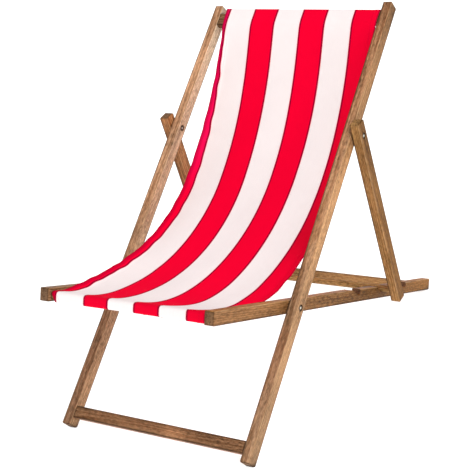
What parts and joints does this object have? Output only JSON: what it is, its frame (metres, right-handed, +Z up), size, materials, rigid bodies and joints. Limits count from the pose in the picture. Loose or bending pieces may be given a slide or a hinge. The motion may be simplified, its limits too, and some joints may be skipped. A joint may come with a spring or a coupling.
{
  "type": "folding deck chair",
  "caption": "Folding wooden deck chair with hinged back, seat and prop frames, a notched recline rest and a hanging striped canvas sling.",
  "frame": {"origin": "on the floor under the middle of the seat rails, halfway across the chair", "axes": "+Z up, +Y from the front rail towards the back, +X to the sitter's left"},
  "size_m": [0.594, 1.0774, 0.8623],
  "materials": {
    "frame_wood": "oiled hardwood, satin",
    "dowel_wood": "plain",
    "zinc_steel": "zinc plated",
    "tack_steel": "blued",
    "canvas": "woven cotton, lengthwise red and white stripes"
  },
  "bodies": {
    "seat_frame": {"seat_rail_left": "frame_wood", "seat_rail_right": "frame_wood", "front_rail": "frame_wood", "rear_rail": "frame_wood", "front_rail_dowels": "dowel_wood", "rear_rail_dowels": "dowel_wood", "front_tacks": "tack_steel"},
    "back_frame": {"back_stile_left": "frame_wood", "back_stile_right": "frame_wood", "top_rail": "frame_wood", "floor_rail": "frame_wood", "top_rail_dowels": "dowel_wood", "floor_rail_dowels": "dowel_wood", "seat_pivot_bolt_left": "zinc_steel", "seat_pivot_bolt_right": "zinc_steel", "prop_pivot_bolt_left": "zinc_steel", "prop_pivot_bolt_right": "zinc_steel", "seat_pivot_spacers": "zinc_steel", "seat_pivot_washers": "zinc_steel", "seat_pivot_nuts": "zinc_steel", "prop_pivot_spacers": "zinc_steel", "prop_pivot_washers": "zinc_steel", "prop_pivot_nuts": "zinc_steel", "sling": "canvas", "top_tacks": "tack_steel"},
    "prop_frame": {"prop_leg_left": "frame_wood", "prop_leg_right": "frame_wood", "prop_bar": "frame_wood"}
  },
  "joints": [
    {"name": "back_fold", "type": "hinge", "parent": "seat_frame", "child": "back_frame", "pos_m": [0, -0.22828, 0.27077], "axis": [1, 0, 0], "range_deg": [0, 114], "deforming": ["sling"]},
    {"name": "prop_fold", "type": "hinge", "parent": "back_frame", "child": "prop_frame", "pos_m": [0, 0.10795, 0.58762], "axis": [1, 0, 0], "range_deg": [-58.8, 0]}
  ],
  "couplings": [
    {"joint": "prop_fold", "follows": "back_fold", "ratio": -0.515}
  ]
}
